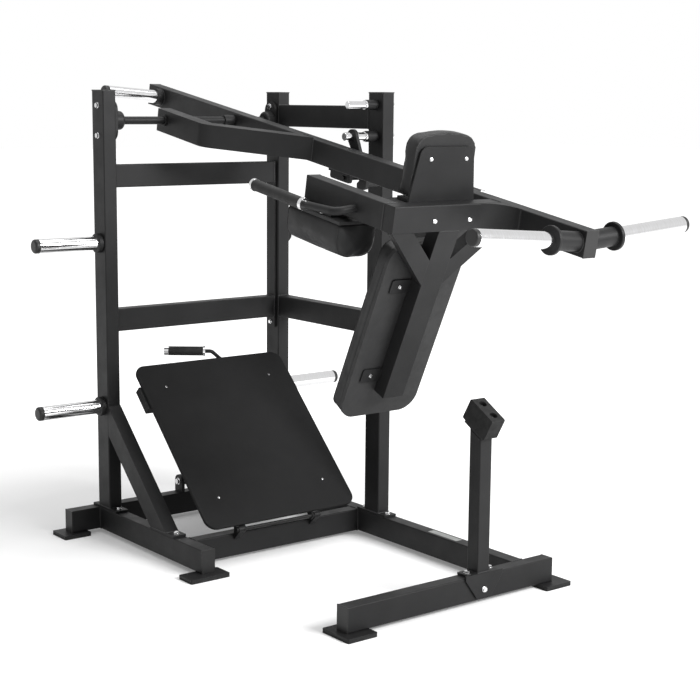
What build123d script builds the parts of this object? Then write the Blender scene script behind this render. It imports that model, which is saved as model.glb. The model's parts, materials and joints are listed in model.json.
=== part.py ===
"""Pendulum squat machine: welded base and tower, weighted swing arm with pads, tilting foot plate.

Millimetres, +Z up. +X is the machine's right, -Y is its front. The origin is on the floor under
the middle of the left rail's rear end, and is moved to the middle of the footprint on export.
"""
from build123d import *
import os
from math import atan2, cos, degrees, hypot, radians, sin

# Box section and plates
TUBE_H, TUBE_W, WALL, TUBE_R = 80.0, 50.0, 3.0, 4.0
PLATE = 8.0
CAP = 4.0
# Base, heights from the floor
RAIL_Z = 14.0
RAIL_TOP = RAIL_Z + TUBE_H
RIGHT_X = 741.0
LEFT_RAIL_FRONT = -687.0
STUB_X = -114.0
MIDDLE_Y = -574.0
FRONT_Y = -1422.0
FRONT_X0, FRONT_X1 = 32.0, 880.0
# Tower
TOWER_TOP = 1589.0
REAR_UP_Y = -72.0
FRONT_UP_Y = -690.0
UP_MID = REAR_UP_Y + TUBE_H / 2
REAR_TIE_Z = (741.0, 1251.0)
SIDE_TIE_Z = (743.0, 1462.0)
# Swing arm: its own frame has the pivot axis at the origin, and is tilted with the front down
PIVOT_Z = 1483.5
ARM_TILT = 9.92
ARM_X = 565.0
ARM_REAR, ARM_FRONT = 615.0, -1812.0
ARM_LOW, ARM_HIGH = -50.0, 30.0
SHAFT_R = 14.0
FORK_X = 270.0
FORK_LOW, FORK_HIGH = -45.0, 35.0
YOKE_X0, YOKE_Y0, YOKE_Y1 = 153.0, -1456.0, -1406.0
YOKE_FILLET = 90.0
SHOULDER_REAR = -1028.0
PAD_X, HEAD_CUSHION_T = 376.0, 66.0
# Spine of the back pad, leaning in the arm's frame
SPINE_LEAN = 15.05
SPINE_LEN = 591.0
SPINE_TOP_Y = -1451.5
BOARD_T, BACK_CUSHION_T, BACK_W = 12.0, 56.0, 300.0
BACK_T0, BACK_T1 = 72.0, 686.0
# Plate-loading horns
SLEEVE_R, HORN_CAP_R, HORN_BASE_R, FLANGE_R = 25.0, 24.6, 29.0, 42.5
HORN_TILT = 4.3
HORN_Y, HORN_Z = -1776.0, -10.0
HORN_BASE_L, FLANGE_T, SLEEVE_L, HORN_CAP_L = 98.0, 12.0, 285.0, 15.0
REAR_HORN_Y, REAR_HORN_Z = 525.0, -8.0
REAR_BASE_R, REAR_BASE_L, REAR_SLEEVE_L, REAR_CAP_L = 32.0, 26.0, 213.0, 20.0
STORE_Z = (473.0, 1057.0)
STORE_COLLAR_R, STORE_COLLAR_L, STORE_SLEEVE_L, STORE_CAP_L = 34.0, 18.0, 220.0, 18.0
# Stop post and its bumper block
POST_X = 548.0
STOP_SWING = 20.0
STOP_GAP = 0.4
BUMPER_Y, BUMPER_L, BUMPER_T, BUMPER_W = -1637.0, 114.0, 74.0, 54.0
BUMPER_BOLTS = (BUMPER_Y - 28, BUMPER_Y + 28)
BUMPER_HOLE_R, BUMPER_HOLE = 13.0, 16.0
# Lock lever and pins on the front upright
PIN_Y = FRONT_UP_Y + TUBE_H / 2
PIN_Z, PEG_Z = 1438.0, 1545.0
PIN_R, PEG_R = 14.0, 12.5
PIN_X0 = 604.0
LEVER_X, LEVER_T = 636.0, 12.0
BOSS_X, PEG_X0 = 690.0, 616.0
CATCH_Y, CATCH_Z, CATCH_R = -665.0, -70.0, 9.0
# Foot plate: its own frame has the hinge axis at the origin, v up the plate, w off its face
HINGE_Y, HINGE_Z, HINGE_R = -598.0, 112.0, 6.0
PLATE_TILT = 44.7
PLATE_X0, PLATE_X1 = 80.5, 710.5
PLATE_V0, PLATE_V1 = 10.0, 701.0
PLATE_W0, PLATE_W1 = 8.4, 18.4
PLATE_MID = (PLATE_X0 + PLATE_X1) / 2
LUG_X, LUG_T = (200.0, 520.0), 22.0
BRACKET_V = (524.0, 618.0)
SCREW_IN, SCREW_V, SCREW_R, SCREW_H = 93.0, (125.0, 600.0), 4.0, 1.5
# Prop strut behind the foot plate
STRUT_Y, STRUT_Z, STRUT_LUG_R, STRUT_LUG_T, LUG_GAP = 24.0, 134.0, 25.0, 12.0, 35.5
STRUT_V, STRUT_W = 430.0, -24.0
STRUT_R, ROD_R, STRUT_PIN_R = 19.0, 13.0, 6.0
EYE_R, EYE_HALF, BARREL_L = 16.0, 31.5, 270.0
KNOB_R, KNOB_AT, KNOB_TOP, BORE_FROM = 9.0, 236.0, 34.0, 30.0
ROD_FROM, CROSS_PIN_HALF = 110.0, 34.0
EAR_HOLE_R = STRUT_PIN_R + 2.2
# Angle lever at the top of the foot plate
LEVER_PIVOT_X, LEVER_V, LEVER_W = 500.0, 640.0, -16.0
# Whole machine moved so that its footprint is centred on the origin
CENTRE_X, CENTRE_Y = 395.5, -620.75

OUT = Location((-CENTRE_X, -CENTRE_Y, 0))
ARM = Location((0, UP_MID, PIVOT_Z), (ARM_TILT, 0, 0))
STOP = Location((0, UP_MID, PIVOT_Z), (ARM_TILT + STOP_SWING, 0, 0))
FOOT = Location((0, HINGE_Y, HINGE_Z), (PLATE_TILT, 0, 0))


def solids_of(*shapes):
    """All solids of several shapes as one compound."""
    found = []
    for shape in shapes:
        found.extend(shape.solids())
    return Compound(children=found)


def save(name, *shapes):
    """Writes one node, moved into the exported frame."""
    export_step(OUT * solids_of(*shapes), "parts/" + name + ".step")


def block(x0, x1, y0, y1, z0, z1):
    """A box from corner to corner."""
    middle = ((x0 + x1) / 2, (y0 + y1) / 2, (z0 + z1) / 2)
    return Pos(*middle) * Box(x1 - x0, y1 - y0, z1 - z0)


def tube(x0, x1, y0, y1, z0, z1, along):
    """A hollow box section between two corners, open at both ends along one axis."""
    outer = fillet(block(x0, x1, y0, y1, z0, z1).edges().filter_by(along), TUBE_R)
    low, high = [x0, y0, z0], [x1, y1, z1]
    for i, axis in enumerate((Axis.X, Axis.Y, Axis.Z)):
        grow = -1.0 if axis == along else WALL
        low[i] += grow
        high[i] -= grow
    return outer - block(low[0], high[0], low[1], high[1], low[2], high[2])


def rod(radius, start, end):
    """A round bar between two points."""
    a, b = Vector(*start), Vector(*end)
    plane = Plane(origin=a, z_dir=b - a)
    return extrude(plane * Circle(radius), (b - a).length)


def ring(outer, inner, start, end):
    """A round collar with a round hole."""
    return rod(outer, start, end) - rod(inner, start, end)


def slab(points, plane, depth):
    """A plate: a closed outline on a plane, extruded along the plane's normal."""
    return extrude(plane * make_face(Polyline(*points, close=True)), depth)


def hex_bolt(at, out, head=9.0, high=6.0, shank=0.0, shank_r=5.0):
    """A hexagon head on a thin washer, facing along out, with a shank behind it."""
    plane = Plane(origin=at, z_dir=out)
    parts = extrude(plane * Circle(head * 1.15), 1.5)
    parts += extrude(plane.offset(1.5) * RegularPolygon(head, 6), high)
    if shank:
        parts += extrude(plane * Circle(shank_r), -shank)
    return parts


def base_tubes():
    """The five floor members."""
    right_out = RIGHT_X + TUBE_W
    save("rear_crossbeam", tube(STUB_X + CAP, right_out - CAP, 0, TUBE_W, RAIL_Z, RAIL_TOP, Axis.X))
    save("left_rail", tube(0, TUBE_W, LEFT_RAIL_FRONT + CAP, 0, RAIL_Z, RAIL_TOP, Axis.Y))
    front_in = FRONT_Y + TUBE_W
    save("right_rail", tube(RIGHT_X, right_out, front_in, 0, RAIL_Z, RAIL_TOP, Axis.Y))
    save("middle_crossbeam", tube(TUBE_W, RIGHT_X, MIDDLE_Y, MIDDLE_Y + TUBE_W, RAIL_Z, RAIL_TOP, Axis.X))
    save("front_crossbeam",
         tube(FRONT_X0 + CAP, FRONT_X1 - CAP, FRONT_Y, front_in, RAIL_Z, RAIL_TOP, Axis.X))


def uprights():
    """Three standing tubes on their flanges, with holes for the pins of the front one."""
    z0, z1 = RAIL_TOP + PLATE, TOWER_TOP - CAP
    rear = (REAR_UP_Y, REAR_UP_Y + TUBE_H)
    save("left_upright", tube(0, TUBE_W, *rear, z0, z1, Axis.Z))
    save("rear_right_upright", tube(RIGHT_X, RIGHT_X + TUBE_W, *rear, z0, z1, Axis.Z))
    front = tube(RIGHT_X, RIGHT_X + TUBE_W, FRONT_UP_Y, FRONT_UP_Y + TUBE_H, z0, z1, Axis.Z)
    for z, r in ((PIN_Z, PIN_R), (PEG_Z, PEG_R)):
        front -= rod(r + 0.2, (RIGHT_X - 1, PIN_Y, z), (RIGHT_X + TUBE_W + 1, PIN_Y, z))
    save("front_right_upright", front)


def ties():
    """Cross ties at the rear and side ties on the right, two of each."""
    y0 = UP_MID - TUBE_W / 2
    rear = [tube(TUBE_W, RIGHT_X - PLATE, y0, y0 + TUBE_W, z, z + TUBE_H, Axis.X) for z in REAR_TIE_Z]
    save("rear_ties", *rear)
    y1 = FRONT_UP_Y + TUBE_H
    side = [tube(RIGHT_X, RIGHT_X + TUBE_W, y1, REAR_UP_Y, z, z + TUBE_H, Axis.Y) for z in SIDE_TIE_Z]
    save("side_ties", *side)


BRACE_TOP = (-72.0, 478.0, 371.0)
BRACE_FOOT = (-459.0, -354.0)


def left_brace():
    """Diagonal tube from the left upright's front face down to the left rail."""
    z0 = RAIL_TOP + PLATE
    side = Plane(origin=(0, 0, 0), x_dir=(0, 1, 0), z_dir=(1, 0, 0))
    y, high, low = BRACE_TOP
    outline = [(y, high), (y, low), (BRACE_FOOT[1], z0), (BRACE_FOOT[0], z0)]
    outer = slab(outline, side, TUBE_W)
    run, rise = BRACE_FOOT[0] - y, z0 - high
    skin = WALL * hypot(run, rise) / abs(run)
    inner = [(y + 1, high - skin), (y + 1, low + skin)]
    inner += [(BRACE_FOOT[1] - WALL * 1.3, z0 - 1), (BRACE_FOOT[0] + WALL * 1.3, z0 - 1)]
    hollow = Pos(WALL, 0, 0) * slab(inner, side, TUBE_W - 2 * WALL)
    save("left_brace", outer - hollow)


def flange_plates():
    """Bolted foot flanges of the uprights, brace and post, and the plate behind the rear ties."""
    z0, z1 = RAIL_TOP, RAIL_TOP + PLATE
    plates = [block(0, TUBE_W, REAR_UP_Y - 45, REAR_UP_Y + TUBE_H + 40, z0, z1)]
    plates += [block(RIGHT_X, RIGHT_X + TUBE_W, REAR_UP_Y - 45, REAR_UP_Y + TUBE_H + 40, z0, z1)]
    plates += [block(RIGHT_X, RIGHT_X + TUBE_W, FRONT_UP_Y - 40, FRONT_UP_Y + TUBE_H + 40, z0, z1)]
    plates += [block(0, TUBE_W, BRACE_FOOT[0] - 48, BRACE_FOOT[1] + 2, z0, z1)]
    plates += [block(POST_X - 40, POST_X + TUBE_W + 40, FRONT_Y, FRONT_Y + TUBE_W, z0, z1)]
    tie_y = UP_MID - TUBE_W / 2
    plates += [block(RIGHT_X - PLATE, RIGHT_X, tie_y, tie_y + TUBE_W, REAR_TIE_Z[0] - 40,
                     REAR_TIE_Z[1] + TUBE_H)]
    front = Plane(origin=(0, FRONT_Y, 0), x_dir=(1, 0, 0), z_dir=(0, -1, 0))
    mid = POST_X + TUBE_W / 2
    outline = [(mid - 78, z1), (mid + 78, z1), (mid + 78, z0 - 6), (mid + 30, 22), (mid - 30, 22),
               (mid - 78, z0 - 6)]
    plates += [slab(outline, front, 6)]
    save("flange_plates", *plates)


def end_caps():
    """Plastic caps on the tube ends and on the ends of the storage sleeves."""
    y_rear = (REAR_UP_Y, REAR_UP_Y + TUBE_H)
    y_front = (FRONT_UP_Y, FRONT_UP_Y + TUBE_H)
    right = (RIGHT_X, RIGHT_X + TUBE_W)
    z = (RAIL_Z, RAIL_TOP)
    caps = [block(STUB_X, STUB_X + CAP, 0, TUBE_W, *z)]
    caps += [block(right[1] - CAP, right[1], 0, TUBE_W, *z)]
    caps += [block(0, TUBE_W, LEFT_RAIL_FRONT, LEFT_RAIL_FRONT + CAP, *z)]
    for x in (FRONT_X0, FRONT_X1 - CAP):
        caps += [block(x, x + CAP, FRONT_Y, FRONT_Y + TUBE_W, *z)]
    for x, y in (((0, TUBE_W), y_rear), (right, y_rear), (right, y_front)):
        caps += [block(*x, *y, TOWER_TOP - CAP, TOWER_TOP)]
    for side, face in ((-1, 0.0), (1, RIGHT_X + TUBE_W)):
        for height in STORE_Z:
            start = face + side * (STORE_COLLAR_L + STORE_SLEEVE_L)
            cap = rod(HORN_CAP_R, (start, UP_MID, height), (start + side * STORE_CAP_L, UP_MID, height))
            caps += [fillet(cap.edges().group_by(Axis.X)[0 if side < 0 else -1], 8)]
    save("end_caps", *caps)


def storage_horns():
    """Two storage sleeves on each rear upright, one above the other, with base collars."""
    sleeves, collars = [], []
    for side, face in ((-1, 0.0), (1, RIGHT_X + TUBE_W)):
        for z in STORE_Z:
            a = face + side * STORE_COLLAR_L
            b = a + side * STORE_SLEEVE_L
            collars += [rod(STORE_COLLAR_R, (face, UP_MID, z), (a, UP_MID, z))]
            sleeves += [rod(SLEEVE_R, (a, UP_MID, z), (b, UP_MID, z))]
    save("storage_sleeves", *sleeves)
    save("storage_collars", *[chamfer(c.edges(), 2) for c in collars])


FOOT_SPOTS = (
    (-102.0, 25.0, 104.0, 100.0),
    (11.0, LEFT_RAIL_FRONT + 4, 150.0, 80.0),
    (FRONT_X0 + 30, FRONT_Y + 25, 110.0, 128.0),
    (FRONT_X1 - 4, FRONT_Y + 25, 112.0, 126.0),
    (RIGHT_X + 60, 25.0, 110.0, 100.0),
)
FOOT_STEEL, FOOT_CORNER = 6.0, 5.0


def feet():
    """Steel foot plates with rubber pads beneath."""
    plates, pads = [], []
    for x, y, wide, deep in FOOT_SPOTS:
        plate = extrude(Pos(x, y, RAIL_Z - FOOT_STEEL) * RectangleRounded(wide, deep, FOOT_CORNER), FOOT_STEEL)
        pad = extrude(Pos(x, y, 0) * RectangleRounded(wide, deep, FOOT_CORNER), RAIL_Z - FOOT_STEEL)
        plates += [plate]
        pads += [pad]
    save("foot_plates", *plates)
    save("foot_pads", *pads)


def bearing(face, out):
    """A two-bolt flange bearing: oval flange, domed body and a bore for the shaft."""
    wall = Plane(origin=(face, UP_MID, PIVOT_Z), x_dir=(0, 0, 1), z_dir=(out, 0, 0))
    flange = extrude(wall * SlotOverall(138, 66), 12)
    body = fillet((extrude(wall * Circle(33), 44)).edges().group_by(Axis.X)[-1 if out > 0 else 0], 10)
    return flange + body - extrude(wall * Circle(SHAFT_R + 0.06), 50)


def bearings():
    """Bearings on the inner faces of the two rear uprights."""
    save("bearing_housings", bearing(TUBE_W, 1), bearing(RIGHT_X, -1))


def frame_bolts():
    """Hexagon heads and nuts on the fixed frame."""
    bolts = []
    for z in (PIVOT_Z - 52, PIVOT_Z + 52):
        bolts += [hex_bolt((0, UP_MID, z), (-1, 0, 0)), hex_bolt((TUBE_W + 12, UP_MID, z), (1, 0, 0))]
        bolts += [hex_bolt((RIGHT_X - 12, UP_MID, z), (-1, 0, 0))]
        bolts += [hex_bolt((RIGHT_X + TUBE_W, UP_MID, z), (1, 0, 0))]
    top = RAIL_TOP + PLATE
    spots = [(25, REAR_UP_Y - 24), (25, REAR_UP_Y + TUBE_H + 22)]
    spots += [(RIGHT_X + 25, REAR_UP_Y - 24), (RIGHT_X + 25, REAR_UP_Y + TUBE_H + 22)]
    spots += [(RIGHT_X + 25, FRONT_UP_Y - 22), (RIGHT_X + 25, FRONT_UP_Y + TUBE_H + 22)]
    spots += [(25, BRACE_FOOT[0] - 26), (POST_X - 22, FRONT_Y + 25), (POST_X + 72, FRONT_Y + 25)]
    bolts += [hex_bolt((x, y, top), (0, 0, 1)) for x, y in spots]
    bolts += [hex_bolt((POST_X + 25, FRONT_Y - 6, 48), (0, -1, 0), 8, 5)]
    tie_y = UP_MID - TUBE_W / 2
    bolts += [hex_bolt((RIGHT_X - PLATE, tie_y + 25, REAR_TIE_Z[0] - 22), (-1, 0, 0), 7, 5)]
    mid, deep = POST_X + TUBE_W / 2, ARM_LOW - STOP_GAP - BUMPER_HOLE
    bolts += [STOP * rod(8, (mid, y, deep), (mid, y, deep + 8)) for y in BUMPER_BOLTS]
    a, b = PLATE_MID - LUG_GAP - STRUT_LUG_T, PLATE_MID + LUG_GAP + STRUT_LUG_T
    pin = rod(STRUT_PIN_R, (a, STRUT_Y, STRUT_Z), (b, STRUT_Y, STRUT_Z))
    pin += hex_bolt((a, STRUT_Y, STRUT_Z), (-1, 0, 0), 11, 8)
    bolts += [pin + hex_bolt((b, STRUT_Y, STRUT_Z), (1, 0, 0), 11, 8)]
    save("frame_bolts", *bolts)


def stop_post():
    """Post of the front crossbeam, cut at the slope of the bumper block it carries."""
    z0 = RAIL_TOP + PLATE
    post = tube(POST_X, POST_X + TUBE_W, FRONT_Y, FRONT_Y + TUBE_W, z0, 760, Axis.Z)
    low = ARM_LOW - STOP_GAP - BUMPER_T
    cutter = STOP * block(POST_X - 50, POST_X + 100, -2000, -1200, low - 10, low + 400)
    seat = STOP * block(POST_X, POST_X + TUBE_W, BUMPER_Y - 44, BUMPER_Y + 44, low - 8, low)
    save("stop_post", post - cutter, seat)


def stop_bumper():
    """Rubber block on the post with two counterbored bolt holes."""
    mid = POST_X + TUBE_W / 2
    top = ARM_LOW - STOP_GAP
    box = block(mid - BUMPER_W / 2, mid + BUMPER_W / 2, BUMPER_Y - BUMPER_L / 2,
                BUMPER_Y + BUMPER_L / 2, top - BUMPER_T, top)
    box = chamfer(box.edges().filter_by(Axis.X), 3)
    for y in BUMPER_BOLTS:
        box -= rod(BUMPER_HOLE_R, (mid, y, top - BUMPER_HOLE), (mid, y, top + 1))
    save("stop_bumper", STOP * box)


def lock_pins():
    """Two chromed pins through the front upright, with bosses, rings and outer nuts."""
    out = RIGHT_X + TUBE_W
    pins, nuts, bosses = [], [], []
    for x, z, r in ((PIN_X0, PIN_Z, PIN_R), (PEG_X0, PEG_Z, PEG_R)):
        pin = rod(r, (x, PIN_Y, z), (out + 24, PIN_Y, z))
        pins += [chamfer(pin.edges().group_by(Axis.X)[0], 2)]
        bosses += [ring(r + 5, r, (BOSS_X + 8, PIN_Y, z), (RIGHT_X, PIN_Y, z))]
        bosses += [ring(24, r, (out, PIN_Y, z), (out + 4, PIN_Y, z))]
        nuts += [ring(r + 3, r, (BOSS_X, PIN_Y, z), (BOSS_X + 8, PIN_Y, z))]
        hexagon = Plane(origin=(out + 4, PIN_Y, z), z_dir=(1, 0, 0)) * RegularPolygon(19, 6)
        nuts += [extrude(hexagon, 14) - rod(r, (out, PIN_Y, z), (out + 40, PIN_Y, z))]
    nuts += [ring(PIN_R + 4, PIN_R, (LEVER_X + LEVER_T + 1, PIN_Y, PIN_Z),
                  (LEVER_X + LEVER_T + 9, PIN_Y, PIN_Z))]
    save("lock_pins", *pins)
    save("lock_pin_nuts", *nuts)
    save("lock_pin_bosses", *bosses)


def lock_lever():
    """J-shaped catch that hangs on the lower pin, beside the arm, with a finger tab."""
    side = Plane(origin=(LEVER_X, 0, 0), x_dir=(0, 1, 0), z_dir=(1, 0, 0))
    hub = extrude(side * Pos(PIN_Y, PIN_Z) * Circle(25), LEVER_T)
    z = PIN_Z
    shank = [(PIN_Y - 24, z + 4), (PIN_Y + 18, z - 16), (PIN_Y - 28, z - 96), (PIN_Y - 44, z - 132)]
    shank += [(PIN_Y - 44, z - 148), (PIN_Y - 31, z - 158), (PIN_Y - 31, z - 172), (PIN_Y - 48, z - 182)]
    shank += [(PIN_Y - 78, z - 176), (PIN_Y - 84, z - 150), (PIN_Y - 66, z - 96)]
    hook = hub + slab(shank, side, LEVER_T)
    hook -= rod(PIN_R + 0.06, (LEVER_X - 1, PIN_Y, z), (LEVER_X + LEVER_T + 1, PIN_Y, z))
    tab = rod(9, (LEVER_X + LEVER_T, PIN_Y - 72, z - 160), (LEVER_X + LEVER_T + 46, PIN_Y - 72, z - 160))
    save("lock_lever", hook + fillet(tab.edges().group_by(Axis.X)[-1], 3))


def hinge_lugs():
    """Lugs of the foot plate's hinge on the middle crossbeam, and of the strut on the rear one."""
    lugs = []
    side = Plane(origin=(0, 0, 0), x_dir=(0, 1, 0), z_dir=(1, 0, 0))
    for x in LUG_X:
        lug = Pos(x, 0, 0) * extrude(side * Pos(HINGE_Y, HINGE_Z) * Circle(11.5), LUG_T)
        low, high = HINGE_Z - 40, RAIL_TOP
        outline = [(HINGE_Y - 11.5, HINGE_Z), (HINGE_Y - 11.5, HINGE_Z - 6), (MIDDLE_Y, low),
                   (MIDDLE_Y, high), (MIDDLE_Y, HINGE_Z + 8), (HINGE_Y, HINGE_Z + 11.5)]
        lug += Pos(x, 0, 0) * slab(outline, side, LUG_T)
        lugs += [lug - rod(HINGE_R, (x - 1, HINGE_Y, HINGE_Z), (x + LUG_T + 1, HINGE_Y, HINGE_Z))]
    wide = STRUT_LUG_T
    for x in (PLATE_MID - LUG_GAP - wide, PLATE_MID + LUG_GAP):
        lug = Pos(x, 0, 0) * extrude(side * Pos(STRUT_Y, STRUT_Z) * Circle(STRUT_LUG_R), wide)
        lug += block(x, x + wide, STRUT_Y - STRUT_LUG_R, STRUT_Y + STRUT_LUG_R, RAIL_TOP, STRUT_Z)
        lugs += [lug - rod(STRUT_PIN_R, (x - 1, STRUT_Y, STRUT_Z), (x + wide + 1, STRUT_Y, STRUT_Z))]
    save("hinge_lugs", *lugs)


def hinge_rods():
    """Hinge rod of the foot plate, with small round heads."""
    x0, x1 = LUG_X[0] - 3, LUG_X[1] + LUG_T + 3
    pin = rod(HINGE_R, (x0, HINGE_Y, HINGE_Z), (x1, HINGE_Y, HINGE_Z))
    for a, b in ((x0 - 3, x0 + 2.9), (x1 - 2.9, x1 + 3)):
        pin += rod(HINGE_R + 2.5, (a, HINGE_Y, HINGE_Z), (b, HINGE_Y, HINGE_Z))
    save("hinge_rod", pin)


def main_arm():
    """The long straight arm, drilled for the shaft, and the bent fork arm on its left."""
    y0, y1 = ARM_FRONT + CAP, ARM_REAR - CAP
    arm = tube(ARM_X, ARM_X + TUBE_W, y0, y1, ARM_LOW, ARM_HIGH, Axis.Y)
    hole = rod(SHAFT_R + 0.1, (FORK_X - 1, 0, 0), (ARM_X + TUBE_W + 1, 0, 0))
    save("main_arm", ARM * (arm - hole))
    inner = [(FORK_X + TUBE_W, 50), (FORK_X + TUBE_W, -231.6), (ARM_X, -436.4)]
    outer = [(ARM_X, -500), (FORK_X, -255), (FORK_X, 50)]
    face = make_face(Polyline(*inner, *outer, close=True))
    face = fillet(face.vertices().sort_by_distance(Vertex(FORK_X, -255, 0))[0], 70)
    core = offset(face, amount=-WALL, kind=Kind.INTERSECTION)
    fork = Pos(0, 0, FORK_LOW) * extrude(face, FORK_HIGH - FORK_LOW)
    fork -= Pos(0, 0, FORK_LOW + WALL) * extrude(core, FORK_HIGH - FORK_LOW - 2 * WALL)
    save("fork_arm", ARM * (fork - hole))


def shaft():
    """Pivot shaft between the bearings, with collars beside both arms."""
    axle = rod(SHAFT_R, (TUBE_W + 6, 0, 0), (RIGHT_X - 6, 0, 0))
    save("pivot_shaft", ARM * chamfer(axle.edges().group_by(Axis.X)[0], 1.5))
    spots = ((FORK_X - 8, FORK_X), (FORK_X + TUBE_W, FORK_X + TUBE_W + 18))
    spots += ((ARM_X - 46, ARM_X), (ARM_X + TUBE_W, ARM_X + TUBE_W + 20))
    collars = [ring(SHAFT_R + 6, SHAFT_R, (a, 0, 0), (b, 0, 0)) for a, b in spots]
    save("shaft_collars", ARM * solids_of(*[chamfer(c.edges(), 1) for c in collars]))


def yoke():
    """Crossbeam of the shoulder frame with a curved corner into the arm, and the left arm."""
    beam = tube(YOKE_X0, ARM_X, YOKE_Y0, YOKE_Y1, ARM_LOW, ARM_HIGH, Axis.X)
    a, b = ARM_X - YOKE_FILLET, YOKE_Y0 - YOKE_FILLET
    corner = block(a, ARM_X, b, YOKE_Y0, ARM_LOW, ARM_HIGH)
    corner -= rod(YOKE_FILLET, (a, b, ARM_LOW - 1), (a, b, ARM_HIGH + 1))
    beam += block(YOKE_X0, YOKE_X0 + WALL, YOKE_Y0 + 1, YOKE_Y1 - 1, ARM_LOW + 1, ARM_HIGH - 1)
    save("yoke", ARM * solids_of(beam + corner))
    left = tube(YOKE_X0, YOKE_X0 + TUBE_W, YOKE_Y1, SHOULDER_REAR - CAP, ARM_LOW, ARM_HIGH, Axis.Y)
    save("left_shoulder_arm", ARM * left)


def horn(side):
    """One front horn's base, flange, sleeve and cap, tilted up away from the arm."""
    mid = ARM_X + TUBE_W / 2
    face = TUBE_W / 2
    a = face + HORN_BASE_L
    b = a + FLANGE_T
    c = b + SLEEVE_L
    base = rod(HORN_BASE_R, (0, 0, 0), (a, 0, 0)) + rod(FLANGE_R, (a, 0, 0), (b, 0, 0))
    base = fillet(base.edges().filter_by(GeomType.CIRCLE).group_by(SortBy.RADIUS)[-1], 3)
    sleeve = rod(SLEEVE_R, (b, 0, 0), (c, 0, 0))
    cap = rod(HORN_CAP_R, (c, 0, 0), (c + HORN_CAP_L, 0, 0))
    cap = fillet(cap.edges().group_by(Axis.X)[-1], 5)
    turn = Location((mid, HORN_Y, HORN_Z), (0, -HORN_TILT, 0))
    if side < 0:
        turn = Location((mid, HORN_Y, HORN_Z), (0, HORN_TILT, 0)) * Location((0, 0, 0), (0, 0, 180))
    core = block(ARM_X, ARM_X + TUBE_W, HORN_Y - 80, HORN_Y + 80, -90, 70)
    return turn * base - core, turn * sleeve, turn * cap


def rear_horn():
    """The horn for counterweights on the left of the arm's rear end."""
    a = 10 + REAR_BASE_L
    b = a + REAR_SLEEVE_L
    turn = Location((ARM_X + 10, REAR_HORN_Y, REAR_HORN_Z), (0, HORN_TILT, 0))
    turn *= Location((0, 0, 0), (0, 0, 180))
    core = block(ARM_X, ARM_X + TUBE_W, REAR_HORN_Y - 60, REAR_HORN_Y + 60, -80, 60)
    base = rod(REAR_BASE_R, (0, 0, 0), (a, 0, 0))
    cap = fillet(rod(HORN_CAP_R, (b, 0, 0), (b + REAR_CAP_L, 0, 0)).edges().group_by(Axis.X)[-1], 8)
    return turn * base - core, turn * rod(SLEEVE_R, (a, 0, 0), (b, 0, 0)), turn * cap


def horns():
    """All three loading horns of the arm, and the caps of the arm's tubes."""
    sets = [horn(-1), horn(1), rear_horn()]
    save("horn_bases", *[ARM * s[0] for s in sets])
    save("horn_sleeves", *[ARM * s[1] for s in sets])
    x = (ARM_X, ARM_X + TUBE_W)
    caps = [block(*x, ARM_REAR - CAP, ARM_REAR, ARM_LOW, ARM_HIGH)]
    caps += [block(*x, ARM_FRONT, ARM_FRONT + CAP, ARM_LOW, ARM_HIGH)]
    caps += [block(YOKE_X0, YOKE_X0 + TUBE_W, SHOULDER_REAR - CAP, SHOULDER_REAR, ARM_LOW, ARM_HIGH)]
    caps += [s[2] for s in sets]
    save("arm_caps", *[ARM * c for c in caps])


def headrest():
    """Steel back plate bolted behind the yoke, and the cushion on its rear side."""
    rear = Plane(origin=(PAD_X, YOKE_Y1, 0), x_dir=(1, 0, 0), z_dir=(0, -1, 0))
    outline = [(-126, -44), (112, -44), (120, 30), (94, 190), (-107, 190), (-134, 30)]
    face = make_face(Polyline(*outline, close=True))
    face = fillet(face.vertices().sort_by(Axis.Y)[-2:], 26)
    plate = extrude(rear * face, -PLATE)
    save("headrest_plate", ARM * plate)
    pad = make_face(Polyline((-136, 34), (122, 34), (114, 232), (-124, 232), close=True))
    pad = fillet(pad.vertices().sort_by(Axis.Y)[-2:], 56)
    cushion = extrude(rear.offset(-PLATE - 0.2) * pad, -HEAD_CUSHION_T)
    save("headrest_cushion", ARM * fillet(cushion.edges().group_by(Axis.Y)[-1], 14))


def spine_plane():
    """Plane on the spine's front face: x across, y up the spine, z towards the front."""
    lean = radians(SPINE_LEAN)
    return Plane(origin=(PAD_X, SPINE_TOP_Y, ARM_LOW), x_dir=(1, 0, 0), z_dir=(0, -cos(lean), -sin(lean)))


def under_yoke(shape):
    """Trims what would reach above the underside of the arm."""
    return shape - block(0, 900, -1700, -1200, ARM_LOW, ARM_LOW + 300)


def spine():
    """Tube that carries the back pad, its end cap and the two braces up to the yoke."""
    plane = spine_plane()
    half, top = TUBE_H / 2, 60
    centre = Pos(0, (top - SPINE_LEN) / 2)
    outer = extrude(plane * centre * Rectangle(TUBE_H, SPINE_LEN + top), -TUBE_W)
    core = Rectangle(TUBE_H - 2 * WALL, SPINE_LEN + top - 2 * WALL)
    inner = extrude(plane.offset(-WALL) * centre * core, -(TUBE_W - 2 * WALL))
    save("spine", ARM * under_yoke(outer - inner))
    braces = []
    for side in (-1, 1):
        outline = [(side * 219, 30), (side * 139, 30), (side * 139, 0), (side * half, -98),
                   (side * half, -184), (side * 219, 0)]
        braces += [under_yoke(extrude(plane * make_face(Polyline(*outline, close=True)), -40))]
    save("spine_braces", *[ARM * b for b in braces])


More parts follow.
